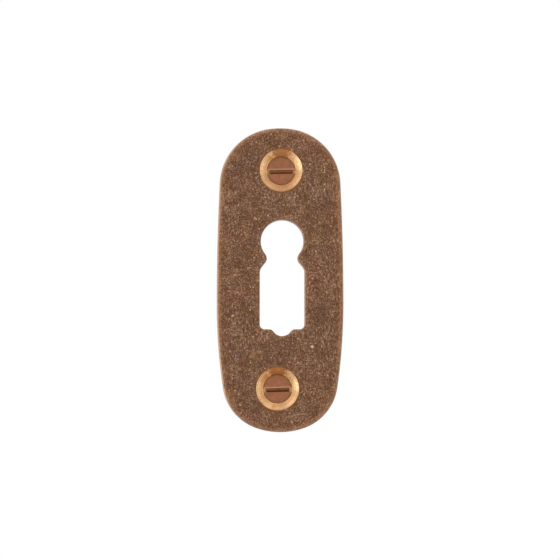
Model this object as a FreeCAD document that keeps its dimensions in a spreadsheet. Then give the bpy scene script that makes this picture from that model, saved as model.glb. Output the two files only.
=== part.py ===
"""Oval keyhole escutcheon: a cast, hand-finished plate and its two slotted countersunk wood screws.

Millimetres. X is to the right as the fixed plate is seen, Z is up, and the front faces -Y.
The origin is the middle of the plate's outline, on the back face that lies against the door.
"""

import FreeCAD, Part
import math
import os

import Sketcher

# Each size is written once, here. The document's sheet holds them under the same names.
SIZES = {
    # The plate is an upright oval: flattened crowns, round shoulders and slightly bowed sides.
    "plate_width": 25.0,
    "plate_height": 60.0,
    "plate_thickness": 3.0,
    "widest_drop": 4.5,  # the sides are widest this far below the middle
    "upper_shoulder_shift": 0.6,  # from the middle line to the centre of a shoulder's arc
    "upper_side_bow": 0.55,  # how far a side swells beyond its shoulder
    "upper_crown_flatness": 6.35,  # crown radius less shoulder radius
    "lower_shoulder_shift": 1.43,
    "lower_side_bow": 1.12,
    "lower_crown_flatness": 4.4,
    "front_arris": 0.6,  # rounding along the front of the outline
    "back_bevel": 0.2,  # broken edge along the back of the outline
    # The keyhole is set out from the line that the key turns about.
    "key_axis_shift": 0.38,  # it was cut this far right of the middle line
    "key_axis_height": 7.65,
    "round_radius": 4.2,
    "waist_width": 5.15,  # between the two cusps, if they were left sharp
    "key_slot_width": 8.78,
    "slot_shoulder_drop": 5.55,  # from the key's axis down to the slot's full width
    "slot_floor_drop": 17.42,
    "notch_radius": 2.05,
    "notch_centre_drop": 16.7,
    "cusp_rounding": 1.25,
    "shoulder_rounding": 1.8,
    "floor_rounding": 1.0,
    "notch_rounding": 0.9,
    "keyhole_arris": 0.4,  # rounding along the front of the keyhole
    # The two countersunk holes were drilled by eye, a little off the middle line.
    "upper_hole_shift": 0.2,
    "upper_hole_inset": 8.4,  # from the plate's upper end
    "lower_hole_shift": -0.5,
    "lower_hole_inset": 8.5,
    "hole_clearance": 0.6,  # hole diameter less screw diameter
    "countersink_diameter": 8.4,
    "countersink_angle": 90.0,  # the screws' heads have the same angle
    # The screws are 3.0 x 16 with a slotted countersunk head.
    "screw_diameter": 3.0,
    "screw_length": 16.0,
    "head_diameter": 5.6,
    "head_rim": 0.1,
    "driver_slot_width": 1.0,
    "driver_slot_depth": 0.65,
    "driver_slot_overrun": 1.0,  # how far its cutter ran past the head at each end
    "thread_length": 9.6,  # from the end of the plain shank to the tip
    "thread_blank_diameter": 2.6,  # at the middle of the thread's depth
    "thread_runout": 0.2,
    "point_length": 3.4,
    "point_diameter": 0.3,
    "upper_slot_turn": 1.5,  # degrees from level, as the screws were left when driven home
    "lower_slot_turn": 2.0,
    "seat_clearance": 0.02,  # between a head's cone and its countersink, along the screw
}

# The points of a sketch's element, in the order that sketches number them.
PLACES = ("whole", "start", "end", "centre")

# A sketch's own axes, which it numbers down from -1. Its origin is the start of the level one.
AXES = ("level axis", "upright axis")
ORIGIN = ("level axis", "start")

NEAR = 1e-4  # two places nearer than this are the same


def make_sheet(doc):
    """The driving dimensions, one to a row, each with its name as alias."""
    sheet = doc.addObject("Spreadsheet::Sheet", "sizes")
    for row, (name, value) in enumerate(SIZES.items(), start=1):
        sheet.set(f"A{row}", name)
        sheet.set(f"B{row}", str(value))
        sheet.setAlias(f"B{row}", name)
    doc.recompute()


def add_body(doc, label):
    body = doc.addObject("PartDesign::Body", label)
    body.Label = label
    return body


def add_sketch(body, name, plane, lift=None):
    """A sketch on one of the body's own origin planes, or lifted off it along the plane's normal."""
    sketch = body.newObject("Sketcher::SketchObject", name)
    feature = next(f for f in body.Origin.OriginFeatures if f.Role == plane)
    sketch.AttachmentSupport = [(feature, "")]
    sketch.MapMode = "FlatFace"
    if lift:
        sketch.setExpression("AttachmentOffset.Base.z", lift)
    return sketch


def sketch_number(item):
    """What a sketch calls one of its axes or the point of an element. Anything else stays as it is."""
    if item in AXES:
        return -AXES.index(item) - 1
    return PLACES.index(item) if item in PLACES else item


def rule(sketch, kind, *where):
    """A constraint between elements, each followed by the name of its point where one is meant."""
    numbers = [sketch_number(item) for item in where]
    return sketch.addConstraint(Sketcher.Constraint(kind, *numbers))


def dimension(sketch, name, kind, where, start, size):
    """A constraint that starts at a value and is bound to an expression in the sheet's names."""
    number = rule(sketch, kind, *where, float(start))
    sketch.renameConstraint(number, name)
    sketch.setExpression(f"Constraints.{name}", size)


def point(place):
    return FreeCAD.Vector(place[0], place[1], 0)


def circle(centre, radius):
    return Part.Circle(point(centre), FreeCAD.Vector(0, 0, 1), radius)


def add_arc(sketch, centre, radius, start, end):
    """A counterclockwise arc between two angles in radians."""
    sketch.addGeometry(Part.ArcOfCircle(circle(centre, radius), start, end), False)


def add_lines(sketch, corners):
    """Straight lines from corner to corner."""
    for start, end in zip(corners, corners[1:]):
        sketch.addGeometry(Part.LineSegment(point(start), point(end)), False)


def join(sketch, elements):
    """Each element's end meets the next one's start."""
    for first, second in zip(elements, elements[1:]):
        rule(sketch, "Coincident", first, "end", second, "start")


def edges_where(feature, test):
    """The names of a feature's edges whose start, middle and end all pass a test."""
    names = []
    for number, edge in enumerate(feature.Shape.Edges, start=1):
        first, last = edge.ParameterRange
        spots = [edge.valueAt(first), edge.valueAt((first + last) / 2), edge.valueAt(last)]
        if all(test(spot) for spot in spots):
            names.append(f"Edge{number}")
    return names


def ease_edges(body, kind, name, test, size):
    """A Fillet or a Chamfer on those edges of the body's latest feature that pass a test."""
    base = body.Tip
    edges = edges_where(base, test)
    eased = body.newObject(f"PartDesign::{kind}", name)
    eased.Base = (base, edges)
    eased.setExpression("Radius" if kind == "Fillet" else "Size", size)
    body.Document.recompute()


def outline_arcs(end):
    """One quadrant of the outline, from crown to side, with its widest line at height 0.

    Its three arcs run into one another without a corner. Returns the centre and radius of each,
    and the angle at which it meets the next.
    """
    half_width = SIZES["plate_width"] / 2
    shift, bow = SIZES[f"{end}_shoulder_shift"], SIZES[f"{end}_side_bow"]
    flatness = SIZES[f"{end}_crown_flatness"]
    drop = SIZES["widest_drop"] if end == "upper" else -SIZES["widest_drop"]
    shoulder_radius = half_width - shift - bow
    crown_radius = shoulder_radius + flatness
    crown = (0, SIZES["plate_height"] / 2 + drop - crown_radius)
    shoulder = (shift, crown[1] + math.sqrt(flatness**2 - shift**2))
    reach = half_width - shift
    side_radius = (reach**2 + shoulder[1] ** 2 - shoulder_radius**2) / (bow + bow)
    side = (half_width - side_radius, 0)
    crown_end = math.atan2(shoulder[1] - crown[1], shift)
    side_end = math.atan2(shoulder[1], shoulder[0] - side[0])
    return [
        (crown, crown_radius, crown_end, math.pi / 2),
        (shoulder, shoulder_radius, side_end, crown_end),
        (side, side_radius, 0, side_end),
    ]


def draw_half_outline(sketch):
    """The right half of the outline: six tangent arcs, closed by a line down the middle."""
    for (x, z), radius, start, end in outline_arcs("upper"):
        add_arc(sketch, (x, z - SIZES["widest_drop"]), radius, start, end)
    for (x, z), radius, start, end in outline_arcs("lower"):
        add_arc(sketch, (x, -z - SIZES["widest_drop"]), radius, -end, -start)
    half_height = SIZES["plate_height"] / 2
    add_lines(sketch, [(0, -half_height), (0, half_height)])
    for end, crown in (("upper", 0), ("lower", 3)):
        constrain_end(sketch, end, crown)
    upper_side, lower_side = 2, 5
    rule(sketch, "Coincident", upper_side, "start", lower_side, "end")
    widest = (upper_side, "start")
    half_width = SIZES["plate_width"] / 2
    dimension(sketch, "half_width", "DistanceX", (*ORIGIN, *widest), half_width, "sizes.plate_width / 2")
    dimension(sketch, "widest", "DistanceY", (*widest, *ORIGIN), SIZES["widest_drop"], "sizes.widest_drop")


def constrain_end(sketch, end, crown):
    """Ties one end's crown, shoulder and side to one another, and their free sizes to the sheet."""
    shoulder, side, middle = crown + 1, crown + 2, 6
    if end == "upper":
        near, far, middle_end = "start", "end", "end"
    else:
        near, far, middle_end = "end", "start", "start"
    rule(sketch, "Tangent", crown, near, shoulder, far)
    rule(sketch, "Tangent", shoulder, near, side, far)
    rule(sketch, "PointOnObject", crown, "centre", "upright axis")
    rule(sketch, "PointOnObject", crown, far, "upright axis")
    rule(sketch, "Coincident", middle, middle_end, crown, far)
    rule(sketch, "Horizontal", side, "centre", side, near)
    shift, bow = SIZES[f"{end}_shoulder_shift"], SIZES[f"{end}_side_bow"]
    radius = SIZES["plate_width"] / 2 - shift - bow
    size = f"sizes.plate_width / 2 - sizes.{end}_shoulder_shift - sizes.{end}_side_bow"
    dimension(sketch, f"{end}_shoulder_radius", "Radius", (shoulder,), radius, size)
    radius += SIZES[f"{end}_crown_flatness"]
    size += f" + sizes.{end}_crown_flatness"
    dimension(sketch, f"{end}_crown_radius", "Radius", (crown,), radius, size)
    across = (*ORIGIN, shoulder, "centre")
    dimension(sketch, f"{end}_shift", "DistanceX", across, shift, f"sizes.{end}_shoulder_shift")
    tall = (*ORIGIN, crown, far) if end == "upper" else (crown, far, *ORIGIN)
    dimension(sketch, f"{end}_height", "DistanceY", tall, SIZES["plate_height"] / 2, "sizes.plate_height / 2")


def keyhole_corners():
    """Half width and height of each of the keyhole's upright corners, by the size that rounds it."""
    z = SIZES["key_axis_height"]
    waist = SIZES["waist_width"] / 2
    floor = z - SIZES["slot_floor_drop"]
    notch_rise = SIZES["slot_floor_drop"] - SIZES["notch_centre_drop"]
    return {
        "cusp_rounding": (waist, z - math.sqrt(SIZES["round_radius"] ** 2 - waist**2)),
        "shoulder_rounding": (SIZES["key_slot_width"] / 2, z - SIZES["slot_shoulder_drop"]),
        "floor_rounding": (SIZES["key_slot_width"] / 2, floor),
        "notch_rounding": (math.sqrt(SIZES["notch_radius"] ** 2 - notch_rise**2), floor),
    }


def draw_keyhole(sketch):
    """A round for the key's stem, two cusps, a straight slot for its bit, and a notch in the floor."""
    x, z = SIZES["key_axis_shift"], SIZES["key_axis_height"]
    notch_z = z - SIZES["notch_centre_drop"]
    corners = list(keyhole_corners().values())
    left = [(x - half, height) for half, height in corners]
    right = [(x + half, height) for half, height in reversed(corners)]
    cusp_angle = math.atan2(corners[0][1] - z, corners[0][0])
    mouth_angle = math.atan2(corners[3][1] - notch_z, corners[3][0])
    add_arc(sketch, (x, z), SIZES["round_radius"], cusp_angle, math.pi - cusp_angle)
    add_lines(sketch, left)
    add_arc(sketch, (x, notch_z), SIZES["notch_radius"], math.pi - mouth_angle, math.tau + mouth_angle)
    add_lines(sketch, right)
    constrain_keyhole(sketch)


def constrain_keyhole(sketch):
    stem, left_cheek, left_side, left_floor, notch, right_floor, right_side, right_cheek = range(8)
    join(sketch, [*range(8), stem])
    for side in (left_side, right_side):
        rule(sketch, "Vertical", side)
    for floor in (left_floor, right_floor):
        rule(sketch, "Horizontal", floor)
    rule(sketch, "Horizontal", left_floor, "start", right_floor, "end")
    rule(sketch, "Horizontal", left_cheek, "start", right_cheek, "end")
    rule(sketch, "Horizontal", left_cheek, "end", right_cheek, "start")
    rule(sketch, "Vertical", stem, "centre", notch, "centre")
    axis = (stem, "centre")
    spans = {
        "key_axis_shift": ("DistanceX", (*ORIGIN, *axis)),
        "key_axis_height": ("DistanceY", (*ORIGIN, *axis)),
        "round_radius": ("Radius", (stem,)),
        "notch_radius": ("Radius", (notch,)),
        "waist_width": ("DistanceX", (left_cheek, "start", right_cheek, "end")),
        "key_slot_width": ("DistanceX", (left_side, "start", right_side, "end")),
        "slot_shoulder_drop": ("DistanceY", (right_side, "end", *axis)),
        "slot_floor_drop": ("DistanceY", (right_side, "start", *axis)),
        "notch_centre_drop": ("DistanceY", (notch, "centre", *axis)),
    }
    for size, (kind, where) in spans.items():
        dimension(sketch, size, kind, where, SIZES[size], f"sizes.{size}")
    across = (*axis, right_side, "start")
    half_slot = SIZES["key_slot_width"] / 2
    dimension(sketch, "half_slot", "DistanceX", across, half_slot, "sizes.key_slot_width / 2")


def cut_keyhole(doc, body):
    """Cuts the keyhole through, rounds its upright corners, then eases its front edge."""
    outline = add_sketch(body, "keyhole_outline", "XZ_Plane")
    draw_keyhole(outline)
    cut = body.newObject("PartDesign::Pocket", "keyhole")
    cut.Profile = outline
    cut.Type = "ThroughAll"
    cut.Reversed = True
    doc.recompute()
    for size, (half, height) in keyhole_corners().items():

        def on_corner(spot, half=half, height=height):
            aside = abs(spot.x - SIZES["key_axis_shift"]) - half
            return abs(aside) < NEAR and abs(spot.z - height) < NEAR

        ease_edges(body, "Fillet", size, on_corner, f"sizes.{size}")
    reach = max(SIZES["round_radius"], SIZES["key_slot_width"] / 2) + NEAR
    top = SIZES["key_axis_height"] + SIZES["round_radius"] + NEAR
    bottom = SIZES["key_axis_height"] - SIZES["notch_centre_drop"] - SIZES["notch_radius"] - NEAR

    def on_mouth(spot):
        beside = abs(spot.x - SIZES["key_axis_shift"]) < reach
        return on_front(spot) and beside and bottom < spot.z < top

    ease_edges(body, "Fillet", "keyhole_edge", on_mouth, "sizes.keyhole_arris")


def on_front(spot):
    return abs(spot.y + SIZES["plate_thickness"]) < NEAR


def on_back(spot):
    return abs(spot.y) < NEAR


def hole_place(end):
    """Across and up from the middle of the plate to a screw's axis, as values and as expressions."""
    shift = SIZES[f"{end}_hole_shift"]
    rise = SIZES["plate_height"] / 2 - SIZES[f"{end}_hole_inset"]
    height = f"(sizes.plate_height / 2 - sizes.{end}_hole_inset)"
    if end == "lower":
        rise, height = -rise, f"-{height}"
    return (shift, rise), (f"sizes.{end}_hole_shift", height)


def drill_holes(doc, body):
    """Both screw holes are drilled and countersunk from the front."""
    places = add_sketch(body, "hole_places", "XZ_Plane", lift="sizes.plate_thickness")
    radius = (SIZES["screw_diameter"] + SIZES["hole_clearance"]) / 2
    size = "(sizes.screw_diameter + sizes.hole_clearance) / 2"
    for number, end in enumerate(("upper", "lower")):
        (x, z), (across, height) = hole_place(end)
        places.addGeometry(circle((x, z), radius), False)
        where = (*ORIGIN, number, "centre")
        dimension(places, f"{end}_x", "DistanceX", where, x, across)
        dimension(places, f"{end}_z", "DistanceY", where, z, height)
        dimension(places, f"{end}_radius", "Radius", (number,), radius, size)
    doc.recompute()
    holes = body.newObject("PartDesign::Hole", "screw_holes")
    holes.Profile = places
    holes.DepthType = "ThroughAll"
    holes.HoleCutType = "Countersink"
    holes.HoleCutCustomValues = True
    holes.setExpression("Diameter", "sizes.screw_diameter + sizes.hole_clearance")
    holes.setExpression("HoleCutDiameter", "sizes.countersink_diameter")
    holes.setExpression("HoleCutCountersinkAngle", "sizes.countersink_angle")
    doc.recompute()


def build_plate(doc):
    """The blank is padded as a half and mirrored, its edges are eased, and then it is cut and drilled."""
    body = add_body(doc, "escutcheon_plate")
    outline = add_sketch(body, "half_outline", "XZ_Plane")
    draw_half_outline(outline)
    half = body.newObject("PartDesign::Pad", "half_plate")
    half.Profile = outline
    half.setExpression("Length", "sizes.plate_thickness")
    doc.recompute()
    whole = body.newObject("PartDesign::Mirrored", "whole_plate")
    whole.Originals = [half]
    whole.MirrorPlane = (outline, ["V_Axis"])
    body.Tip = whole
    doc.recompute()
    ease_edges(body, "Fillet", "front_edge", on_front, "sizes.front_arris")
    ease_edges(body, "Chamfer", "back_edge", on_back, "sizes.back_bevel")
    cut_keyhole(doc, body)
    drill_holes(doc, body)
    return body


def draw_screw(sketch):
    """Half of a screw's section: X is the radius, Y runs down the screw from the head cone's wide end."""
    head, shank = SIZES["head_diameter"] / 2, SIZES["screw_diameter"] / 2
    hole = shank + SIZES["hole_clearance"] / 2
    thread, tip = SIZES["thread_blank_diameter"] / 2, SIZES["point_diameter"] / 2
    top = -SIZES["head_rim"]
    far = top + SIZES["screw_length"]
    thread_start = far - SIZES["thread_length"]
    half_angle = math.radians(SIZES["countersink_angle"] / 2)
    sweep = (hole - shank) / (1 - math.cos(half_angle))
    cone_end = (head - hole) / math.tan(half_angle)
    neck = cone_end + sweep * math.sin(half_angle)
    add_lines(sketch, [(0, top), (head, top), (head, 0), (hole, cone_end)])
    add_arc(sketch, (shank + sweep, neck), sweep, math.pi, math.pi + half_angle)
    runout_end = (thread, thread_start + SIZES["thread_runout"])
    taper_start = (thread, far - SIZES["point_length"])
    add_lines(sketch, [(shank, neck), (shank, thread_start), runout_end, taper_start, (tip, far)])
    add_lines(sketch, [(tip, far), (0, far), (0, top)])
    constrain_screw(sketch)


def constrain_screw(sketch):
    """The neck sweeps from the head's cone into the shank, starting where the cone enters the hole."""
    top, rim, cone, neck, plain, runout, thread, taper, tip, axis = range(10)
    join(sketch, [top, rim, cone])
    join(sketch, [plain, runout, thread, taper, tip, axis, top])
    rule(sketch, "Tangent", neck, "end", cone, "end")
    rule(sketch, "Tangent", neck, "start", plain, "start")
    rule(sketch, "PointOnObject", top, "start", "upright axis")
    rule(sketch, "PointOnObject", rim, "end", "level axis")
    for element in (rim, plain, thread, axis):
        rule(sketch, "Vertical", element)
    for element in (top, tip):
        rule(sketch, "Horizontal", element)
    radii = {
        "head_radius": (rim, ["head_diameter"]),
        "neck_radius": (cone, ["screw_diameter", "hole_clearance"]),
        "shank_radius": (plain, ["screw_diameter"]),
        "thread_radius": (thread, ["thread_blank_diameter"]),
        "tip_radius": (taper, ["point_diameter"]),
    }
    for name, (element, diameters) in radii.items():
        start = sum(SIZES[diameter] for diameter in diameters) / 2
        size = "(" + " + ".join(f"sizes.{diameter}" for diameter in diameters) + ") / 2"
        dimension(sketch, name, "DistanceX", (*ORIGIN, element, "end"), start, size)
    lengths = {
        "head_rim": (rim, "start", *ORIGIN),
        "screw_length": (top, "start", tip, "end"),
        "thread_length": (plain, "end", tip, "end"),
        "thread_runout": (runout, "start", runout, "end"),
        "point_length": (taper, "start", taper, "end"),
    }
    for size, where in lengths.items():
        dimension(sketch, size, "DistanceY", where, SIZES[size], f"sizes.{size}")
    slope = math.radians(90 + SIZES["countersink_angle"] / 2)
    dimension(sketch, "cone_slope", "Angle", (cone,), slope, "90 + sizes.countersink_angle / 2")


def draw_driver_slot(sketch):
    """A rectangle across the head and out past it at both ends."""
    long = SIZES["head_diameter"] + 2 * SIZES["driver_slot_overrun"]
    across, high = long / 2, SIZES["driver_slot_width"] / 2
    add_lines(sketch, [(-across, -high), (across, -high), (across, high), (-across, high), (-across, -high)])
    lower, right, upper, left = range(4)
    join(sketch, [lower, right, upper, left, lower])
    for side in (lower, upper):
        rule(sketch, "Horizontal", side)
    for side in (left, right):
        rule(sketch, "Vertical", side)
    rule(sketch, "Symmetric", lower, "start", right, "end", *ORIGIN)
    width = (right, "start", right, "end")
    dimension(sketch, "slot_width", "DistanceY", width, SIZES["driver_slot_width"], "sizes.driver_slot_width")
    reach = "sizes.head_diameter + 2 * sizes.driver_slot_overrun"
    dimension(sketch, "slot_reach", "DistanceX", (lower, "start", lower, "end"), long, reach)


def build_screw(doc, label, end):
    """One screw, turned about its own Y axis, slotted, and then seated in its countersink."""
    body = add_body(doc, label)
    profile = add_sketch(body, f"{end}_screw_profile", "XY_Plane")
    draw_screw(profile)
    turned = body.newObject("PartDesign::Revolution", f"{end}_turned_blank")
    turned.Profile = profile
    turned.ReferenceAxis = (profile, ["V_Axis"])
    turned.Angle = 360
    doc.recompute()
    slot = add_sketch(body, f"{end}_slot_outline", "XZ_Plane", lift="sizes.head_rim")
    draw_driver_slot(slot)
    cut = body.newObject("PartDesign::Pocket", f"{end}_driver_slot")
    cut.Profile = slot
    cut.setExpression("Length", "sizes.driver_slot_depth")
    doc.recompute()
    seat_screw(body, end)
    doc.recompute()
    return body


def seat_screw(body, end):
    """Lays the head's cone along the countersink's, with the slot turned as it was left."""
    _, (across, height) = hole_place(end)
    radii = "(sizes.countersink_diameter - sizes.head_diameter) / 2"
    depth = f"{radii} / tan(sizes.countersink_angle / 2 * 1deg)"
    turn = FreeCAD.Rotation(FreeCAD.Vector(0, -1, 0), SIZES[f"{end}_slot_turn"])
    body.Placement = FreeCAD.Placement(FreeCAD.Vector(0, 0, 0), turn)
    body.setExpression("Placement.Base.x", across)
    body.setExpression("Placement.Base.y", f"{depth} - sizes.plate_thickness - sizes.seat_clearance")
    body.setExpression("Placement.Base.z", height)
    body.setExpression("Placement.Rotation.Angle", f"sizes.{end}_slot_turn * 1deg")


def check(doc, bodies):
    """Nothing is written unless every object and every sub-part came out sound."""
    for item in doc.Objects:
        if {"Invalid", "Error"} & set(item.State):
            raise RuntimeError(f"{item.Name} failed: {item.State}")
    for body in bodies:
        shape = body.Shape
        if shape.isNull() or not shape.isValid() or len(shape.Solids) != 1:
            raise RuntimeError(f"{body.Label} has no single sound solid")


def main():
    doc = FreeCAD.newDocument("keyhole_escutcheon")
    make_sheet(doc)
    bodies = [
        build_plate(doc),
        build_screw(doc, "upper_screw", "upper"),
        build_screw(doc, "lower_screw", "lower"),
    ]
    doc.recompute()
    check(doc, bodies)
    os.makedirs("parts", exist_ok=True)
    for body in bodies:
        body.Shape.exportStep(os.path.join("parts", f"{body.Label}.step"))
        print(f"{body.Label}: {body.Shape.Volume:.2f} cubic mm")


main()
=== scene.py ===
"""Oval keyhole escutcheon: a patinated cast brass plate and the two slotted wood screws that fix it.

The plate's outline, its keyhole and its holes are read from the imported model, in metres.
X is to the right as the fixed plate is seen, Z is up, and the front faces -Y.
"""

import math

import bmesh
import bpy
import numpy as np
from mathutils import Matrix, Vector, noise
from mathutils.geometry import delaunay_2d_cdt
from mathutils.kdtree import KDTree


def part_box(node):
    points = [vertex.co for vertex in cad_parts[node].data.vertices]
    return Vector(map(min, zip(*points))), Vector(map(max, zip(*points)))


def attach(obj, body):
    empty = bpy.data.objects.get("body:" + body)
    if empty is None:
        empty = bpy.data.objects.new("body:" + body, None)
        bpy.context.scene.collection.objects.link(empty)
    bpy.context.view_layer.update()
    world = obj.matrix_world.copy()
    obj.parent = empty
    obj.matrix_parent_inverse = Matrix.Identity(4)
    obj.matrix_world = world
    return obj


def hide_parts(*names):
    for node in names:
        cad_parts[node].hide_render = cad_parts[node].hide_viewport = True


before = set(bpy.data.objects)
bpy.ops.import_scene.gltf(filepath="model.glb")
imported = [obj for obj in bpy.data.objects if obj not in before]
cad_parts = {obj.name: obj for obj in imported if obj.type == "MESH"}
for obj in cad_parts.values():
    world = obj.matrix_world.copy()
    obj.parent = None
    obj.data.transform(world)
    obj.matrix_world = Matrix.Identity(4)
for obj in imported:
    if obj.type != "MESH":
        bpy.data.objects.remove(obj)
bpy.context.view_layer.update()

MM = 0.001
WELD = 1e-7

# How finely the plate's skin is divided. The clearance is kept from the rims, as a share of the grain.
FRONT_GRAIN = 0.17 * MM
BACK_GRAIN = 0.55 * MM
WALL_GRAIN = 0.24 * MM
HOLE_GRAIN = 0.15 * MM
SINK_ROWS = 16
RIM_CLEARANCE = 0.62

# The plate's worked edges.
BACK_BEVEL = 0.2 * MM
KEYHOLE_ARRIS = 0.4 * MM
COUNTERSINK_BURR = 0.05 * MM

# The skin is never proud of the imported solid: casting and wear only take metal away.
LEAST_WEAR = 0.006 * MM

# The plate and its holes, as its finishes meet them, in millimetres.
PLATE_THICKNESS = 3.0
COUNTERSINK_RADIUS = 4.2
HEAD_RADIUS = 2.8

# The screws: reaches from the face of the head, and radii. The flank is a share of the pitch.
HEAD_ARRIS = 0.045 * MM
HEAD_RIM = 0.1 * MM
HEAD_CONE_END = 1.1 * MM
HEAD_CONE_RADIUS = 1.8 * MM
NECK_END = 1.824 * MM
SHANK_RADIUS = 1.49 * MM
SHANK_END = 6.4 * MM
POINT_START = 12.6 * MM
THREAD_PITCH = 1.35 * MM
THREAD_CORE = 1.04 * MM
THREAD_FLANK = 0.24
THREAD_RUN_IN = 0.5 * MM
THREAD_GRAIN = 0.075 * MM
POINT_RADIUS = 0.1 * MM
SCREW_SIDES = 96
SHARP_TURN = math.radians(38)

# The driver slot: its lower and upper edges' heights from the screw's axis, and its section.
SLOT_EDGES = (-0.62 * MM, 0.2 * MM)
SLOT_DEPTH = 0.65 * MM
SLOT_ARRIS = 0.05 * MM
SLOT_BEVEL = (0.18 * MM, 0.09 * MM)
SLOT_FILLET = 0.1 * MM
SLOT_TURNS = {"upper_screw": math.radians(1.5), "lower_screw": math.radians(2.0)}

# Small knocks in the plate's face: place across and up, radius and depth, in millimetres.
NICKS = (
    (6.3, -13.2, 0.32, 0.07),
    (-9.3, -7.1, 0.26, 0.06),
    (-5.1, 4.3, 0.24, 0.05),
    (7.4, 19.2, 0.22, 0.05),
    (-7.9, -24.6, 0.24, 0.05),
)

# Orange stains left in the countersinks: place across and up, and radius, in millimetres.
STAINS = (
    (-1.85, 24.1, 0.55),
    (2.0, 24.9, 0.5),
    (-2.8, -19.1, 0.7),
    (-0.4, -17.7, 0.45),
    (-1.3, -25.0, 0.35),
)

# The soft boxes, all turned to the plate: name, place, width, height and power.
SOFTBOXES = (
    ("left softbox", (-0.75, -0.09, -0.17), 0.2, 0.46, 0.9),
    ("right softbox", (0.75, -0.16, -0.02), 0.3, 0.6, 0.32),
    ("upper left softbox", (-0.5, -0.25, 0.45), 0.5, 0.5, 0.8),
    ("top softbox", (0.1, -0.3, 0.6), 0.8, 0.3, 0.9),
    ("low front softbox", (0, -0.4, -0.5), 0.6, 0.3, 0.35),
)

# The photograph's view.
CAMERA_AIM = (-0.02 * MM, -1.5 * MM, -0.019 * MM)
CAMERA_DISTANCE = 0.4
CAMERA_BELOW = math.radians(3)
LENS_LENGTH = 130.19
SENSOR_WIDTH = 36

# The floor's half width, and its height.
FLOOR_REACH = 1.5
FLOOR_LEVEL = -0.6


def flat_outlines(node, level):
    """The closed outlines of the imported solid's flat face at this Y, longest first, as (x, z) points."""
    skin = bmesh.new()
    skin.from_mesh(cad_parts[node].data)
    bmesh.ops.remove_doubles(skin, verts=skin.verts, dist=WELD)
    flat = {face for face in skin.faces if all(abs(v.co.y - level) < WELD for v in face.verts)}
    rim = [edge for edge in skin.edges if sum(face in flat for face in edge.link_faces) == 1]
    outlines = []
    while rim:
        edge = rim.pop()
        start, here = edge.verts
        outline = [start, here]
        while here != start:
            edge = next(near for near in here.link_edges if near in rim)
            rim.remove(edge)
            here = edge.other_vert(here)
            outline.append(here)
        outlines.append(np.array([(v.co.x, v.co.z) for v in outline[:-1]]))
    skin.free()
    return sorted(outlines, key=run_length, reverse=True)


def run_length(outline):
    return np.linalg.norm(np.roll(outline, -1, 0) - outline, axis=1).sum()


def turned_left(outline):
    """Twice the area that the outline turns round to the left."""
    after = np.roll(outline, -1, 0)
    return (outline[:, 0] * after[:, 1] - after[:, 0] * outline[:, 1]).sum()


def even_run(outline, grain, metal_inside):
    """Evenly spaced points on the smooth curve through an outline, and the way out of the metal at each."""
    if (turned_left(outline) > 0) != metal_inside:
        outline = outline[::-1]
    ahead = np.roll(outline, -1, 0)
    along = ahead - np.roll(outline, 1, 0)
    along /= np.linalg.norm(along, axis=1)[:, None]
    chord = np.linalg.norm(ahead - outline, axis=1)
    places = []
    for start, end, leave, arrive, length in zip(outline, ahead, along, np.roll(along, -1, 0), chord):
        share = np.arange(0, 1, min(0.5, 0.1 * grain / length))[:, None]
        places.append(
            start * (1 + 2 * share) * (1 - share) ** 2
            + leave * length * share * (1 - share) ** 2
            + end * share**2 * (3 - 2 * share)
            + arrive * length * share**2 * (share - 1)
        )
    fine = np.vstack(places + [outline[:1]])
    reach = np.concatenate(([0], np.cumsum(np.linalg.norm(np.diff(fine, axis=0), axis=1))))
    count = int(round(reach[-1] / grain))
    stops = np.arange(count) * reach[-1] / count
    run = np.column_stack([np.interp(stops, reach, fine[:, axis]) for axis in (0, 1)])
    heading = np.roll(run, -1, 0) - np.roll(run, 1, 0)
    heading /= np.linalg.norm(heading, axis=1)[:, None]
    return run, np.column_stack((heading[:, 1], -heading[:, 0]))


def round_run(outline, grain):
    """The same for a drilled hole, on a true circle, with its radius."""
    low, high = outline.min(0), outline.max(0)
    centre, radius = (low + high) / 2, (high - low).mean() / 2
    count = int(round(2 * math.pi * radius / grain))
    turn = -np.arange(count) * 2 * math.pi / count
    ray = np.column_stack((np.cos(turn), np.sin(turn)))
    return centre + ray * radius, -ray, radius


def arris_rows(radius, steps):
    """Rows over a rounded edge, from the face to the wall: how far out, and how far back."""
    turns = [math.pi / 2 * step / steps for step in range(steps + 1)]
    return [(radius * math.sin(turn), radius * (1 - math.cos(turn))) for turn in turns]


def level_rows(out, start, end, grain):
    """Evenly spaced rows straight back from start to end, without start itself."""
    count = max(1, round((end - start) / grain))
    return [(out, start + (end - start) * (step + 1) / count) for step in range(count)]


def inside(points, outlines):
    """Which points lie in the metal, by counting the outlines' sides to the right of each."""
    crossings = np.zeros(len(points), int)
    for outline in outlines:
        for (x0, z0), (x1, z1) in zip(outline, np.roll(outline, -1, 0)):
            if z0 == z1:
                continue
            spans = (points[:, 1] >= min(z0, z1)) & (points[:, 1] < max(z0, z1))
            side = x0 + (points[:, 1] - z0) * (x1 - x0) / (z1 - z0)
            crossings += spans & (side > points[:, 0])
    return crossings % 2 == 1


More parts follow.
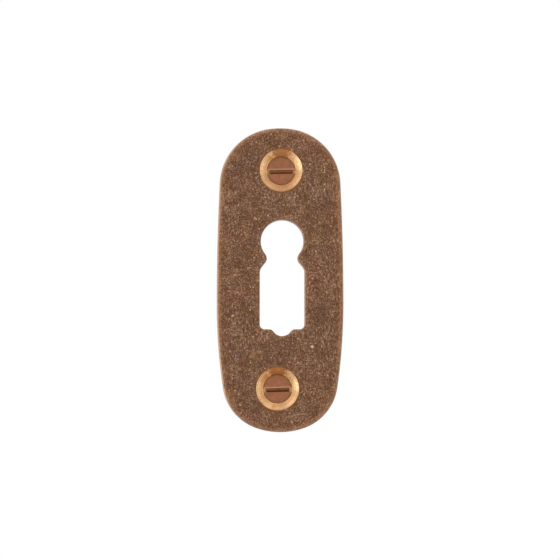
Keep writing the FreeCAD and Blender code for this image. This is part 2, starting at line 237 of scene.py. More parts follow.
def fill_face(outlines, grain):
    """Triangles over the metal between the outlines: the inner points, and the faces by index."""
    rims = np.vstack(outlines)
    low, high = rims.min(0), rims.max(0)
    rise = grain * math.sqrt(3) / 2
    rows = np.arange(low[1], high[1], rise)
    columns = np.arange(low[0], high[0], grain)
    grid = np.array([(x + (row % 2) * grain / 2, z) for row, z in enumerate(rows) for x in columns])
    grid = grid[inside(grid, outlines)]
    near = KDTree(len(rims))
    for index, (x, z) in enumerate(rims):
        near.insert((x, z, 0), index)
    near.balance()
    clear = [near.find((x, z, 0))[2] > RIM_CLEARANCE * grain for x, z in grid]
    grid = grid[np.array(clear)]
    points = np.vstack((rims, grid))
    edges, first = [], 0
    for outline in outlines:
        count = len(outline)
        edges += [(first + step, first + (step + 1) % count) for step in range(count)]
        first += count
    _, _, triangles, origins, _, _ = delaunay_2d_cdt(
        [Vector(point / MM) for point in points], edges, [], 0, 1e-7
    )
    source = [kept[0] for kept in origins]
    triangles = np.array([[source[corner] for corner in triangle] for triangle in triangles])
    rim_only = (triangles < len(rims)).all(1)
    in_metal = ~rim_only
    in_metal[rim_only] = inside(points[triangles[rim_only]].mean(1), outlines)
    return grid, triangles[in_metal]


class Skin:
    """A mesh that grows by rows and faces, with a few measures kept at each point."""

    def __init__(self, *measures):
        self.points, self.faces, self.finishes = [], [], []
        self.measures = {name: [] for name in measures}

    def add_points(self, points, **measures):
        start = len(self.points)
        self.points.extend(map(tuple, points))
        for name, values in self.measures.items():
            given = measures.get(name, 0.0)
            values.extend(np.broadcast_to(given, len(points)).tolist())
        return list(range(start, len(self.points)))

    def add_faces(self, faces, finish=0):
        self.faces.extend(faces)
        self.finishes.extend([finish] * len(faces))

    def band(self, row, following, finish=0):
        """Faces between two closed rows of as many points."""
        around = range(len(row))
        wrap = len(row)
        self.add_faces(
            [(row[i], following[i], following[(i + 1) % wrap], row[(i + 1) % wrap]) for i in around],
            finish,
        )

    def make(self, name, finishes):
        mesh = bpy.data.meshes.new(name)
        mesh.from_pydata(self.points, [], self.faces)
        for finish in finishes:
            mesh.materials.append(finish)
        mesh.polygons.foreach_set("material_index", self.finishes)
        mesh.polygons.foreach_set("use_smooth", [True] * len(self.faces))
        for measure, values in self.measures.items():
            mesh.attributes.new(measure, "FLOAT", "POINT").data.foreach_set("value", values)
        mesh.update()
        piece = bpy.data.objects.new(name, mesh)
        bpy.context.scene.collection.objects.link(piece)
        return piece


def place_rows(skin, run, out, rows, front, finish, **measures):
    """Lays rows of points along a run and joins them. Gives back the first row and the last."""
    made = []
    for out_by, back_by in rows:
        spots = run + out * out_by
        points = np.column_stack((spots[:, 0], np.full(len(spots), front + back_by), spots[:, 1]))
        made.append(skin.add_points(points, **measures))
    for row, following in zip(made, made[1:]):
        skin.band(row, following, finish)
    return made[0], made[-1]


def wear_down(piece, relief):
    """Moves each point of the skin into the metal by what relief gives for its place."""
    mesh = piece.data
    count = len(mesh.vertices)
    spots = np.empty(count * 3)
    ways = np.empty(count * 3)
    mesh.vertices.foreach_get("co", spots)
    mesh.vertices.foreach_get("normal", ways)
    spots, ways = spots.reshape(-1, 3), ways.reshape(-1, 3)
    depths = np.array([relief(index, Vector(spot / MM)) for index, spot in enumerate(spots)]) * MM
    spots -= ways * depths[:, None]
    mesh.vertices.foreach_set("co", spots.ravel())
    mesh.update()


def cast_relief(spot):
    """Depth of the cast and tumbled surface below the true one, in millimetres. The walls are smoother."""
    swell = noise.noise(spot / 5.5) * 0.018
    skin = noise.noise(spot / 1.1 + Vector((7, 3, 1))) * 0.012
    grain = noise.noise(spot / 0.42 + Vector((1, 9, 4))) * 0.014
    share = min(1, max(0, (-2.3 - spot.y) / 0.6))
    return (0.04 + swell + skin + grain) * (0.3 + 0.7 * share)


def nick_depth(spot):
    """How deep a knock goes at a spot, in millimetres."""
    depth = 0.0
    for across, up, radius, deep in NICKS:
        reach = math.hypot(spot.x - across, spot.z - up) / radius
        if reach < 2.5:
            depth += deep * math.exp(-reach * reach)
    return depth


def stain_share(spot):
    """How much of a stain there is at a spot, up to one."""
    share = 0.0
    for across, up, radius in STAINS:
        share += math.exp(-((spot.x - across) ** 2 + (spot.z - up) ** 2) / radius**2)
    return min(1, share)


def make_plate(finishes):
    """The cast plate: its two faces, and the walls of its outline, keyhole and screw holes."""
    low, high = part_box("escutcheon_plate")
    front, back = low.y, high.y
    thickness = back - front
    outline, keyhole, *holes = flat_outlines("escutcheon_plate", front)
    front_arris = high.x - outline[:, 0].max()
    drillings = flat_outlines("escutcheon_plate", back)[2:]
    drilled_radius = np.ptp(drillings[0][:, 0]) / 2

    skin = Skin("from_outline", "from_keyhole", "from_axis", "above_axis", "turned", "knocked", "stained")
    face_rims, face_rows, back_rims, back_rows = [], [], [], []

    def add_wall(run, out, rows, finish=0, **measures):
        first, last = place_rows(skin, run, out, rows, front, finish, **measures)
        face_rims.append(run)
        face_rows.extend(first)
        back_rims.append(run + out * rows[-1][0])
        back_rows.extend(last)

    side = arris_rows(front_arris, 7)
    side += level_rows(front_arris, front_arris, thickness - BACK_BEVEL, WALL_GRAIN)
    side += [(front_arris - BACK_BEVEL * part, thickness - BACK_BEVEL * (1 - part)) for part in (0.5, 1)]
    add_wall(*even_run(outline, WALL_GRAIN, True), side, from_keyhole=99.0)

    cut = arris_rows(KEYHOLE_ARRIS, 5) + level_rows(KEYHOLE_ARRIS, KEYHOLE_ARRIS, thickness, WALL_GRAIN)
    add_wall(*even_run(keyhole, WALL_GRAIN, False), cut, from_outline=99.0)

    for hole in holes:
        run, out, radius = round_run(hole, HOLE_GRAIN)
        drop = radius - drilled_radius
        burr = COUNTERSINK_BURR
        sink = [(0, 0), (burr * 0.35, burr * 0.1), (burr * 0.8, burr * 0.5)]
        sink += [(drop * step / SINK_ROWS, drop * step / SINK_ROWS) for step in range(1, SINK_ROWS + 1)]
        sink += level_rows(drop, drop, thickness, WALL_GRAIN)
        add_wall(run, out, sink, finish=1, from_outline=99.0, from_keyhole=99.0, turned=1.0)

    for rims, rows, level, grain in (
        (face_rims, face_rows, front, FRONT_GRAIN),
        (back_rims, back_rows, back, BACK_GRAIN),
    ):
        spots, triangles = fill_face(rims, grain)
        points = np.column_stack((spots[:, 0], np.full(len(spots), level), spots[:, 1]))
        rows = rows + skin.add_points(points)
        faces = [tuple(rows[corner] for corner in triangle) for triangle in triangles]
        skin.add_faces([face if level == back else face[::-1] for face in faces])

    tell_distances(skin, face_rims)
    plate = skin.make("cast_plate", finishes)
    turn_outward(plate)
    turned = skin.measures["turned"]

    def relief(index, spot):
        if turned[index]:
            return LEAST_WEAR / MM
        return max(LEAST_WEAR / MM, cast_relief(spot) + nick_depth(spot))

    wear_down(plate, relief)
    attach(plate, "root")
    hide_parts("escutcheon_plate")


def tell_distances(skin, rims):
    """Writes at each point how far it is from the rims and a hole's axis, and how knocked and stained."""
    flat = np.array(skin.points)[:, (0, 2)]
    for measure, rim in zip(("from_outline", "from_keyhole"), rims):
        near = KDTree(len(rim))
        for index, (x, z) in enumerate(rim):
            near.insert((x, z, 0), index)
        near.balance()
        skin.measures[measure] = [near.find((x, z, 0))[2] / MM for x, z in flat]
    axes = np.array([(rim.min(0) + rim.max(0)) / 2 for rim in rims[2:]])
    gaps = np.linalg.norm(flat[:, None] - axes[None], axis=2)
    nearest = gaps.argmin(1)
    skin.measures["from_axis"] = (gaps.min(1) / MM).tolist()
    skin.measures["above_axis"] = ((flat[:, 1] - axes[nearest, 1]) / MM).tolist()
    spots = [Vector((x / MM, 0, z / MM)) for x, z in flat]
    skin.measures["knocked"] = [nick_depth(spot) for spot in spots]
    skin.measures["stained"] = [stain_share(spot) for spot in spots]


def turn_outward(piece):
    """Makes every face look out of the metal."""
    skin = bmesh.new()
    skin.from_mesh(piece.data)
    bmesh.ops.recalc_face_normals(skin, faces=skin.faces)
    skin.to_mesh(piece.data)
    skin.free()
    piece.data.update()


def thread_radius(reach, turn, length):
    """Radius of the screw at this reach from the head's face and this turn round its axis."""
    if reach <= SHANK_END:
        return SHANK_RADIUS
    taper = min(1, (length - reach) / (length - POINT_START))
    core = POINT_RADIUS + (THREAD_CORE - POINT_RADIUS) * taper
    crest = POINT_RADIUS + (SHANK_RADIUS - POINT_RADIUS) * min(1, taper * 1.12)
    start = min(1, (reach - SHANK_END) / THREAD_RUN_IN)
    core = SHANK_RADIUS + (core - SHANK_RADIUS) * start
    phase = (reach / THREAD_PITCH - turn / (2 * math.pi)) % 1
    ridge = max(0.0, 1 - abs(phase - 0.5) / THREAD_FLANK)
    ridge = ridge * ridge * (3 - 2 * ridge) * 0.5 + ridge * 0.5
    return core + (crest - core) * min(1, ridge * 1.08)


def screw_rings(radius, length):
    """The rings of a screw from the middle of its head to its point: reach, and radius.

    On the shank and in the thread the radius is None: thread_radius gives it.
    """
    face_edge = radius - HEAD_ARRIS
    rings = [(0, face_edge * step / 20) for step in range(1, 21)]
    rings += [(0.008 * MM, radius - 0.02 * MM), (0.022 * MM, radius - 0.005 * MM), (HEAD_ARRIS, radius)]
    rings += [(HEAD_RIM - 0.01 * MM, radius), (HEAD_RIM + 0.01 * MM, radius - 0.015 * MM)]
    slope = (radius - HEAD_CONE_RADIUS) / (HEAD_CONE_END - HEAD_RIM)
    for step in range(1, 10):
        reach = HEAD_RIM + (HEAD_CONE_END - HEAD_RIM) * step / 9
        rings.append((reach, radius - slope * (reach - HEAD_RIM)))
    for step in range(1, 7):
        share = step / 6
        reach = HEAD_CONE_END + (NECK_END - HEAD_CONE_END) * share
        rings.append((reach, SHANK_RADIUS + (HEAD_CONE_RADIUS - SHANK_RADIUS) * (1 - share) ** 2))
    rings += [(NECK_END + (SHANK_END - NECK_END) * step / 14, None) for step in range(1, 15)]
    steps = round((length - SHANK_END) / THREAD_GRAIN)
    rings += [(SHANK_END + (length - SHANK_END) * step / steps, None) for step in range(1, steps + 1)]
    return rings


def slot_section():
    """The driver slot's section, from its lower edge round to its upper one: height and depth.

    Its ends stand clear of the head. Screwdrivers that slipped have worn the upper edge to a bevel.
    """
    low, high = SLOT_EDGES
    turns = [math.pi / 2 * step / 3 for step in range(4)]
    fillet = [(SLOT_FILLET * (math.sin(turn) - 1), SLOT_FILLET * (math.cos(turn) - 1)) for turn in turns]
    arris = [(SLOT_ARRIS * (1 - math.cos(turn)), SLOT_ARRIS * (1 - math.sin(turn))) for turn in turns]
    lower = [(low - aside, SLOT_DEPTH + depth) for aside, depth in fillet]
    lower += [(low - aside, depth) for aside, depth in arris + [(SLOT_ARRIS, -1 * MM)]]
    wide, deep = SLOT_BEVEL
    upper = [(high + aside, SLOT_DEPTH + depth) for aside, depth in fillet]
    upper += [(high, deep), (high + wide, 0), (high + wide, -1 * MM)]
    return lower[::-1] + upper


def slot_cutter(radius):
    """The shape that the slotting saw takes out of the head, along X, with its mouth at Y 0."""
    section = slot_section()
    cutter = Skin()
    ends = []
    for reach in (-radius * 1.2, radius * 1.2):
        ends.append(cutter.add_points([(reach, deep, aside) for aside, deep in section]))
    cutter.band(*ends)
    cutter.add_faces([tuple(ends[0]), tuple(reversed(ends[1]))])
    piece = cutter.make("slotting_saw", [])
    turn_outward(piece)
    return piece


def cut_slot(screw, radius):
    """Takes the slot out of the head and throws the cutter away."""
    saw = slot_cutter(radius)
    cut = screw.modifiers.new("driver_slot", "BOOLEAN")
    cut.operation, cut.solver, cut.object = "DIFFERENCE", "EXACT", saw
    shapes = bpy.context.evaluated_depsgraph_get()
    slotted = bpy.data.meshes.new_from_object(screw.evaluated_get(shapes))
    screw.modifiers.clear()
    whole, screw.data = screw.data, slotted
    bpy.data.meshes.remove(whole)
    blade = saw.data
    bpy.data.objects.remove(saw)
    bpy.data.meshes.remove(blade)


def make_screw(node, finish):
    """A slotted wood screw of its own mesh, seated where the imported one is."""
    low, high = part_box(node)
    radius = (high.x - low.x) / 2
    length = high.y - low.y
    turns = [2 * math.pi * side / SCREW_SIDES for side in range(SCREW_SIDES)]
    skin = Skin()
    centre = skin.add_points([(0, 0, 0)])[0]
    rows = []
    for reach, ring in screw_rings(radius, length):
        radii = [ring or thread_radius(reach, turn, length) for turn in turns]
        points = [(r * math.sin(turn), reach, r * math.cos(turn)) for r, turn in zip(radii, turns)]
        rows.append(skin.add_points(points))
    for row, following in zip(rows, rows[1:]):
        skin.band(row, following)
    tip = skin.add_points([(0, length, 0)])[0]
    sides = range(SCREW_SIDES)
    skin.add_faces([(centre, rows[0][side], rows[0][(side + 1) % SCREW_SIDES]) for side in sides])
    skin.add_faces([(tip, rows[-1][(side + 1) % SCREW_SIDES], rows[-1][side]) for side in sides])
    screw = skin.make(node.replace("screw", "wood_screw"), [finish])
    turn_outward(screw)
    cut_slot(screw, radius)
    tell_head(screw)
    middle = (low + high) / 2
    seat = Matrix.Translation((middle.x, low.y, middle.z)) @ Matrix.Rotation(-SLOT_TURNS[node], 4, "Y")
    screw.data.transform(seat)
    screw.data.set_sharp_from_angle(angle=SHARP_TURN)
    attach(screw, "root")
    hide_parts(node)


def tell_head(screw):
    """Writes at each point how deep it is below the head's face, how far from the axis, and its height."""
    mesh = screw.data
    spots = [vertex.co / MM for vertex in mesh.vertices]
    measures = {
        "sunk": [spot.y for spot in spots],
        "from_axis": [math.hypot(spot.x, spot.z) for spot in spots],
        "above_slot": [spot.z for spot in spots],
    }
    for measure, values in measures.items():
        mesh.attributes.new(measure, "FLOAT", "POINT").data.foreach_set("value", values)


def paint(red, green, blue):
    """A colour as a shader takes it, from the 0 to 255 values that a screen shows."""
    shares = [value / 255 for value in (red, green, blue)]
    return (*[s / 12.92 if s <= 0.04045 else ((s + 0.055) / 1.055) ** 2.4 for s in shares], 1.0)


def add_node(tree, kind, inputs=None, **settings):
    node = tree.nodes.new("ShaderNode" + kind)
    for name, value in settings.items():
        setattr(node, name, value)
    for socket, value in (inputs or {}).items():
        if isinstance(value, bpy.types.NodeSocket):
            tree.links.new(value, node.inputs[socket])
        else:
            node.inputs[socket].default_value = value
    return node


def mix_colour(tree, factor, under, over, blend="MIX"):
    mix = add_node(tree, "Mix", {0: factor, 6: under, 7: over}, data_type="RGBA", blend_type=blend)
    return mix.outputs[2]


def work_out(tree, operation, first, second=0.0, clamp=False):
    return add_node(tree, "Math", {0: first, 1: second}, operation=operation, use_clamp=clamp).outputs[0]


def all_of(tree, *masks):
    """Full only where every mask is full."""
    share = masks[0]
    for mask in masks[1:]:
        share = work_out(tree, "MULTIPLY", share, mask)
    return share


def tint(tree, under, mask, share, over):
    """The colour under, turned towards the screen colour over by a share of the mask."""
    return mix_colour(tree, work_out(tree, "MULTIPLY", mask, share), under, paint(*over))


def spread(tree, value, low, high, out_low=0.0, out_high=1.0, interpolation="SMOOTHSTEP"):
    """Value from low to high, eased, as out_low to out_high."""
    ease = add_node(
        tree,
        "MapRange",
        {"Value": value, "From Min": low, "From Max": high, "To Min": out_low, "To Max": out_high},
        interpolation_type=interpolation,
    )
    return ease.outputs["Result"]


def three_tones(tree, share, dark, middle, light):
    """Dark at nothing, middle at a half, light at one."""
    colour = mix_colour(tree, spread(tree, share, 0.0, 0.5, interpolation="LINEAR"), dark, middle)
    return mix_colour(tree, spread(tree, share, 0.5, 1.0, interpolation="LINEAR"), colour, light)


def in_millimetres(tree):
    """Places on the piece, in millimetres."""
    place = add_node(tree, "TexCoord").outputs["Object"]
    scaled = add_node(tree, "VectorMath", {0: place, "Scale": 1 / MM}, operation="SCALE")
    return scaled.outputs[0]


def cloud(tree, place, scale, detail, roughness):
    """Noise about a half."""
    inputs = {"Vector": place, "Scale": scale, "Detail": detail, "Roughness": roughness}
    return add_node(tree, "TexNoise", inputs).outputs["Fac"]


def measured(tree, name):
    """What the mesh holds at each point under this name."""
    return add_node(tree, "Attribute", attribute_name=name).outputs["Fac"]


def new_effect(name, inputs, outputs):
    """An empty shader effect with these sockets: the group, what it is given, and what it gives."""
    group = bpy.data.node_groups.new(name, "ShaderNodeTree")
    for socket, (kind, value) in inputs.items():
        made = group.interface.new_socket(socket, in_out="INPUT", socket_type="NodeSocket" + kind)
        made.default_value = value
    for socket, kind in outputs.items():
        group.interface.new_socket(socket, in_out="OUTPUT", socket_type="NodeSocket" + kind)
    given = group.nodes.new("NodeGroupInput").outputs
    gives = group.nodes.new("NodeGroupOutput").inputs
    return group, given, gives


def use_effect(tree, group, **inputs):
    """A shader effect given these values, and its outputs."""
    node = tree.nodes.new("ShaderNodeGroup")
    node.node_tree = group
    for socket, value in inputs.items():
        socket = socket.replace("_", " ")
        if isinstance(value, bpy.types.NodeSocket):
            tree.links.new(value, node.inputs[socket])
        else:
            node.inputs[socket].default_value = value
    return node.outputs


def make_speckle():
    """The fine light and dark grain of a tumbled casting, a few bright specks, and the height with them."""
    group, given, gives = new_effect(
        "tumbled speckle",
        {"Fineness": ("Float", 3.0), "Upright": ("Float", 1.2), "Contrast": ("Float", 1.0)},
        {"Grain": "Float", "Bright specks": "Float", "Height": "Float"},
    )
    place = in_millimetres(group)
    squeeze = work_out(group, "DIVIDE", 1.0, given["Upright"])
    squeeze = add_node(group, "CombineXYZ", {0: 1.0, 1: 1.0, 2: squeeze}).outputs[0]
    drawn = add_node(group, "VectorMath", {0: place, 1: squeeze}, operation="MULTIPLY").outputs[0]
    fine = add_node(group, "VectorMath", {0: drawn, "Scale": given["Fineness"]}, operation="SCALE")
    fine = fine.outputs[0]
    grains = cloud(group, fine, 1.0, 4.0, 1.0)
    broad = cloud(group, place, 0.45, 2.0, 0.6)
    off_middle = work_out(group, "SUBTRACT", grains, 0.5)
    broad_off_middle = work_out(group, "MULTIPLY", work_out(group, "SUBTRACT", broad, 0.5), 0.13)
    both = work_out(group, "ADD", off_middle, broad_off_middle)
    strong = work_out(group, "MULTIPLY", both, work_out(group, "MULTIPLY", given["Contrast"], 3.1))
    grain = work_out(group, "ADD", strong, 0.445, clamp=True)
    specks = add_node(group, "TexVoronoi", {"Vector": fine, "Scale": 0.55, "Randomness": 1.0})
    chosen = add_node(group, "SeparateColor", {0: specks.outputs["Color"]}).outputs[0]
    near_middle = spread(group, specks.outputs["Distance"], 0.34, 0.14)
    speck = work_out(group, "MULTIPLY", near_middle, spread(group, chosen, 0.87, 0.97))
    group.links.new(grain, gives["Grain"])
    group.links.new(speck, gives["Bright specks"])
    group.links.new(grains, gives["Height"])
    return group


def make_patches():
    """Broad uneven patches, as mask from nothing to full."""
    group, given, gives = new_effect(
        "uneven patches",
        {"Width": ("Float", 3.0), "Start": ("Float", 0.45), "Full": ("Float", 0.6), "Shift": ("Float", 0.0)},
        {"Mask": "Float"},
    )
    place = in_millimetres(group)
    shifted = add_node(group, "VectorMath", {0: place, 1: given["Shift"]}, operation="ADD").outputs[0]
    scale = work_out(group, "DIVIDE", 1.0, given["Width"])
    wide = add_node(group, "VectorMath", {0: shifted, "Scale": scale}, operation="SCALE").outputs[0]
    mask = spread(group, cloud(group, wide, 1.0, 3.0, 0.55), given["Start"], given["Full"])
    group.links.new(mask, gives["Mask"])
    return group


def make_rub():
    """Where hands and cloths have rubbed an edge bare: full at the edge, ragged towards its reach."""
    group, given, gives = new_effect(
        "rubbed edge",
        {"Distance": ("Float", 1.0), "Reach": ("Float", 1.2), "Raggedness": ("Float", 0.6)},
        {"Mask": "Float"},
    )
    place = in_millimetres(group)
    ragged = work_out(group, "SUBTRACT", cloud(group, place, 1.6, 3.0, 0.7), 0.5)
    ragged = work_out(group, "MULTIPLY", ragged, given["Raggedness"])
    share = work_out(group, "DIVIDE", given["Distance"], given["Reach"])
    near = work_out(group, "SUBTRACT", 1.0, share)
    ragged = work_out(group, "MULTIPLY", ragged, 4.0)
    mask = spread(group, work_out(group, "ADD", near, ragged), 0.0, 1.0)
    group.links.new(mask, gives["Mask"])
    return group


def new_finish(name):
    """A new material, its tree and its shader."""
    finish = bpy.data.materials.new(name)
    finish.use_nodes = True
    shader = next(node for node in finish.node_tree.nodes if node.type == "BSDF_PRINCIPLED")
    return finish, finish.node_tree, shader


def add_bump(tree, shader, height, distance):
    bump = add_node(tree, "Bump", {"Height": height, "Distance": distance})
    tree.links.new(bump.outputs["Normal"], shader.inputs["Normal"])


def wear_and_highlight_edges(tree, colour, grain, below, patches, rub):
    """Lays the rubbed edges over the patina's colour, with painted highlights on the outline's arris and on
    faces that look left. Gives it back with the rubbed share and the share of the left-facing painted
    highlight.

    Below is how far a place lies behind the plate's face.
    """
    from_outline = measured(tree, "from_outline")
    from_keyhole = measured(tree, "from_keyhole")
    front = spread(tree, below, 1.6, 0.7)
    outline_rub = use_effect(tree, rub, Distance=from_outline, Reach=0.42, Raggedness=0.9)["Mask"]
    keyhole_rub = use_effect(tree, rub, Distance=from_keyhole, Reach=0.5, Raggedness=0.5)["Mask"]
    keyhole_rub = work_out(tree, "MULTIPLY", keyhole_rub, 0.8)
    rubbed = all_of(tree, work_out(tree, "MAXIMUM", outline_rub, keyhole_rub), front)
    bare = three_tones(tree, grain, paint(98, 64, 41), paint(141, 100, 70), paint(208, 166, 134))
    colour = mix_colour(tree, work_out(tree, "MULTIPLY", rubbed, 0.65), colour, bare)

    near_outline = spread(tree, from_outline, 2.2, 0.3)
    warm_spots = use_effect(tree, patches, Width=0.5, Start=0.46, Full=0.6, Shift=91.0)["Mask"]
    warm_spots = all_of(tree, warm_spots, near_outline, front, spread(tree, grain, 0.42, 0.7))
    colour = tint(tree, colour, warm_spots, 0.65, (182, 114, 68))

    # Partly wear, partly painted highlight: a paler line along the rubbed edge of the outline.
    rubbed_edge_highlight = all_of(tree, spread(tree, from_outline, 0.4, 0.15), rubbed)
    colour = tint(tree, colour, rubbed_edge_highlight, 0.3, (152, 118, 94))
    # Painted highlight: the rounded arris of the outline is painted paler all round, for the light it
    # catches.
    crest = all_of(tree, spread(tree, below, 0.03, 0.3), spread(tree, below, 0.9, 0.6))
    crest = all_of(tree, crest, spread(tree, from_outline, 1.0, 0.7))
    colour = tint(tree, colour, crest, 0.5, (200, 168, 142))

    # Painted highlight: faces that look left are painted paler, for the light that comes from the left.
    facing = add_node(tree, "TexCoord").outputs["Normal"]
    rightward = add_node(tree, "SeparateXYZ", {0: facing}).outputs[0]
    left_facing_highlight = all_of(tree, spread(tree, rightward, -0.2, -0.75), spread(tree, below, 1.1, 0.5))
    colour = tint(tree, colour, left_facing_highlight, 0.75, (184, 146, 120))
    return colour, rubbed, left_facing_highlight


def patinated_brass(speckle, patches, rub):
    """The plate's brown patina: speckled and cloudy, bright where knocked or worn, with painted highlights
    on the arris of its outline and on its left-facing sides, orange by its holes.
    """
    finish, tree, shader = new_finish("patinated cast brass")
    from_door = add_node(tree, "SeparateXYZ", {0: in_millimetres(tree)}).outputs[1]
    below = work_out(tree, "ADD", from_door, PLATE_THICKNESS)

    round_specks = use_effect(tree, speckle, Fineness=3.1, Upright=1.1, Contrast=1.18)
    long_specks = use_effect(tree, speckle, Fineness=3.0, Upright=2.2, Contrast=1.18)
    streaked = use_effect(tree, patches, Width=4.5, Start=0.46, Full=0.6, Shift=5.0)["Mask"]
    grains = {0: streaked, 2: round_specks["Grain"], 3: long_specks["Grain"]}
    grain = add_node(tree, "Mix", grains).outputs[0]
    green = use_effect(tree, patches, Width=2.6, Start=0.48, Full=0.66, Shift=11.0)["Mask"]
    purple = use_effect(tree, patches, Width=2.2, Start=0.48, Full=0.66, Shift=37.0)["Mask"]
    red = use_effect(tree, patches, Width=3.0, Start=0.48, Full=0.66, Shift=71.0)["Mask"]
    middle = tint(tree, paint(117, 83, 61), green, 0.8, (115, 85, 55))
    middle = tint(tree, middle, purple, 0.8, (114, 82, 70))
    middle = tint(tree, middle, red, 0.5, (125, 80, 55))
    colour = three_tones(tree, grain, paint(88, 56, 37), middle, paint(208, 167, 135))

    knocked = measured(tree, "knocked")
    bright = work_out(tree, "MAXIMUM", round_specks["Bright specks"], spread(tree, knocked, 0.01, 0.06))
    colour = tint(tree, colour, bright, 0.78, (215, 178, 146))
    colour = tint(tree, colour, spread(tree, knocked, 0.035, 0.065), 0.7, (250, 222, 198))
    colour, rubbed, left_facing_highlight = wear_and_highlight_edges(tree, colour, grain, below, patches, rub)

    fringe = work_out(tree, "ADD", measured(tree, "from_axis"), green)
    fringe = spread(tree, fringe, COUNTERSINK_RADIUS + 0.7, COUNTERSINK_RADIUS + 0.05)
    colour = tint(tree, colour, all_of(tree, fringe, spread(tree, below, 1.6, 0.7)), 0.75, (132, 84, 42))
    tree.links.new(colour, shader.inputs["Base Color"])

    # Rubbed wear and the mask of the left-facing painted highlight together: both are made smoother.
    worn = work_out(tree, "MAXIMUM", rubbed, left_facing_highlight)
    smooth = work_out(tree, "MAXIMUM", spread(tree, below, 0.25, 0.65), worn)
    tree.links.new(spread(tree, smooth, 0.0, 1.0, 0.56, 0.32), shader.inputs["Roughness"])
    tree.links.new(spread(tree, rubbed, 0.0, 1.0, 0.9, 1.0), shader.inputs["Metallic"])
    add_bump(tree, shader, round_specks["Height"], 0.03 * MM)
    return finish


def turned_brass(patches):
    """Bright brass left by the countersink: soft rings and patches, stains, a top painted darker as shade
    with some tarnish, a dark brim.
    """
    finish, tree, shader = new_finish("turned countersink brass")
    from_axis = measured(tree, "from_axis")
    across = {"W": from_axis, "Scale": 2.6, "Detail": 1.0}
    rings = add_node(tree, "TexNoise", across, noise_dimensions="1D").outputs["Fac"]
    cloudy = use_effect(tree, patches, Width=0.4, Start=0.44, Full=0.6, Shift=43.0)["Mask"]
    colour = mix_colour(tree, spread(tree, rings, 0.35, 0.65), paint(225, 187, 142), paint(250, 221, 180))
    colour = tint(tree, colour, cloudy, 0.6, (218, 164, 106))

    high = work_out(tree, "DIVIDE", measured(tree, "above_axis"), from_axis)
    # Painted shade with some tarnish: the top of each countersink, which faces down, is painted darker
    # brown.
    tarnish_and_top_shade = work_out(tree, "ADD", high, work_out(tree, "MULTIPLY", cloudy, 0.08))
    colour = tint(tree, colour, spread(tree, tarnish_and_top_shade, 0.84, 0.98), 0.85, (162, 104, 54))
    colour = tint(tree, colour, measured(tree, "stained"), 0.7, (210, 140, 74))
    brim = work_out(tree, "SUBTRACT", from_axis, work_out(tree, "MULTIPLY", high, 0.1))
    brim = spread(tree, brim, COUNTERSINK_RADIUS - 0.08, COUNTERSINK_RADIUS + 0.04)
    colour = tint(tree, colour, brim, 0.5, (160, 112, 62))
    tree.links.new(colour, shader.inputs["Base Color"])

    shader.inputs["Metallic"].default_value = 1.0
    tree.links.new(spread(tree, cloudy, 0.0, 1.0, 0.32, 0.42), shader.inputs["Roughness"])
    add_bump(tree, shader, rings, 0.012 * MM)
    return finish


def coppery_brass(speckle, patches):
    """The screws' warm patina: reddish patches on the head, a darker rim, a pale edge that is partly painted
    light, and a slot painted dark as shade, with a pale bevel above it.
    """
    finish, tree, shader = new_finish("coppery screw brass")
    sunk = measured(tree, "sunk")
    from_axis = measured(tree, "from_axis")
    above = measured(tree, "above_slot")
    specks = use_effect(tree, speckle, Fineness=1.2, Contrast=0.6)
    red = use_effect(tree, patches, Width=1.3, Start=0.44, Full=0.6, Shift=3.0)["Mask"]
    ochre = use_effect(tree, patches, Width=1.6, Start=0.5, Full=0.7, Shift=51.0)["Mask"]
    dark = tint(tree, paint(138, 90, 62), red, 0.7, (156, 88, 62))
    light = tint(tree, paint(170, 118, 88), red, 0.7, (192, 120, 90))
    colour = mix_colour(tree, specks["Grain"], dark, light)
    colour = tint(tree, colour, ochre, 0.5, (156, 104, 60))

    on_face = spread(tree, sunk, 0.1, 0.3, 1.0, 0.0)
    rim = all_of(tree, spread(tree, from_axis, HEAD_RADIUS - 0.5, HEAD_RADIUS - 0.08), on_face)
    colour = tint(tree, colour, rim, 0.45, (132, 86, 46))
    # Partly wear, partly painted light: the head's very edge is painted pale, lifting the shade in the gap
    # to the countersink.
    edge = all_of(tree, spread(tree, from_axis, HEAD_RADIUS - 0.1, HEAD_RADIUS - 0.02), on_face)
    colour = tint(tree, colour, edge, 0.9, (214, 160, 106))

    slot_low, slot_high = (height / MM for height in SLOT_EDGES)
    # Painted shade: the inside of the slot is painted a darker brown.
    in_slot = all_of(
        tree,
        work_out(tree, "LESS_THAN", above, slot_high + 0.02),
        work_out(tree, "GREATER_THAN", above, slot_low - 0.02),
        spread(tree, sunk, 0.1, 0.3),
        work_out(tree, "LESS_THAN", sunk, SLOT_DEPTH / MM + 0.01),
    )
    colour = tint(tree, colour, in_slot, 0.6, (126, 80, 42))
    # Painted shadow: the lower side of the slot is painted a very dark brown.
    low_slot_shadow = all_of(tree, in_slot, spread(tree, above, -0.14, -0.3))
    colour = tint(tree, colour, low_slot_shadow, 0.95, (92, 44, 12))
    # Partly wear, partly painted highlight: the worn bevel on the slot's upper edge is painted pale.
    bevel = all_of(
        tree,
        spread(tree, above, slot_high - 0.06, slot_high + 0.02),
        spread(tree, above, slot_high + 0.3, slot_high + 0.2),
        work_out(tree, "LESS_THAN", sunk, 0.2),
    )
    colour = tint(tree, colour, bevel, 0.85, (184, 136, 104))
    tree.links.new(colour, shader.inputs["Base Color"])

    shader.inputs["Metallic"].default_value = 0.85
    tree.links.new(spread(tree, specks["Height"], 0.3, 0.7, 0.5, 0.36), shader.inputs["Roughness"])
    add_bump(tree, shader, specks["Height"], 0.015 * MM)
    return finish


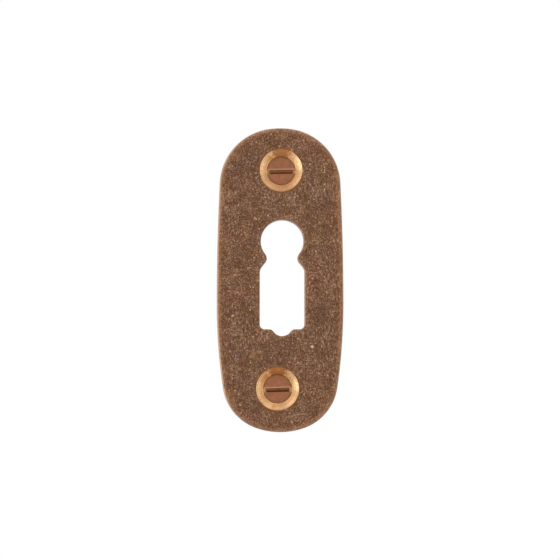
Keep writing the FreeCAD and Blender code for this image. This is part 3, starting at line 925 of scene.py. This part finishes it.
def add_softbox(name, place, width, height, power):
    """A rectangular lamp, turned to the plate."""
    lamp = bpy.data.lights.new(name, "AREA")
    lamp.shape = "RECTANGLE"
    lamp.size, lamp.size_y = width, height
    lamp.energy = power
    box = bpy.data.objects.new(name, lamp)
    box.location = place
    box.rotation_euler = (-Vector(place)).to_track_quat("-Z", "Y").to_euler()
    bpy.context.scene.collection.objects.link(box)


def seen_rays(tree):
    """One for rays by which the studio is seen, straight or in metal and glass, and nothing for the rest."""
    path = add_node(tree, "LightPath").outputs
    seen = work_out(tree, "MAXIMUM", path["Is Camera Ray"], path["Is Glossy Ray"])
    return work_out(tree, "MAXIMUM", seen, path["Is Transmission Ray"])


def light_studio():
    """The soft boxes, and a white studio that lights less than it shows."""
    for softbox in SOFTBOXES:
        add_softbox(*softbox)
    world = bpy.data.worlds.new("white studio")
    world.use_nodes = True
    tree = world.node_tree
    tree.nodes.clear()
    dim = add_node(tree, "Background", {"Color": (1, 1, 1, 1), "Strength": 0.4})
    white = add_node(tree, "Background", {"Color": (1, 1, 1, 1), "Strength": 1.0})
    shown = add_node(tree, "MixShader", {0: seen_rays(tree), 1: dim.outputs[0], 2: white.outputs[0]})
    add_node(tree, "OutputWorld", {"Surface": shown.outputs[0]})
    bpy.context.scene.world = world


def lay_floor():
    """A pale floor well below the plate, which takes its shadow."""
    floor = Skin()
    ways = ((-1, -1), (1, -1), (1, 1), (-1, 1))
    corners = [(across * FLOOR_REACH, deep * FLOOR_REACH, FLOOR_LEVEL) for across, deep in ways]
    floor.add_faces([tuple(floor.add_points(corners))])
    finish, tree, shader = new_finish("pale floor")
    shader.inputs["Base Color"].default_value = (0.9, 0.9, 0.9, 1)
    shader.inputs["Roughness"].default_value = 0.9
    shader.inputs["Emission Color"].default_value = (1, 1, 1, 1)
    glow = work_out(tree, "MULTIPLY", seen_rays(tree), 0.45)
    tree.links.new(glow, shader.inputs["Emission Strength"])
    floor.make("floor", [finish])


def set_camera():
    """The photograph's view: a little below the plate, from 0.4 m."""
    lens = bpy.data.cameras.new("photograph's view")
    lens.sensor_width = SENSOR_WIDTH
    lens.lens = LENS_LENGTH
    camera = bpy.data.objects.new("photograph's view", lens)
    way = Vector((0, -math.cos(CAMERA_BELOW), -math.sin(CAMERA_BELOW)))
    camera.location = Vector(CAMERA_AIM) + way * CAMERA_DISTANCE
    camera.rotation_euler = (math.pi / 2 + CAMERA_BELOW, 0, 0)
    bpy.context.scene.collection.objects.link(camera)
    bpy.context.scene.camera = camera
    bpy.context.scene.view_settings.view_transform = "Standard"


set_camera()
light_studio()
lay_floor()
speckle, patches, rub = make_speckle(), make_patches(), make_rub()
make_plate([patinated_brass(speckle, patches, rub), turned_brass(patches)])
screw_finish = coppery_brass(speckle, patches)
for node in SLOT_TURNS:
    make_screw(node, screw_finish)
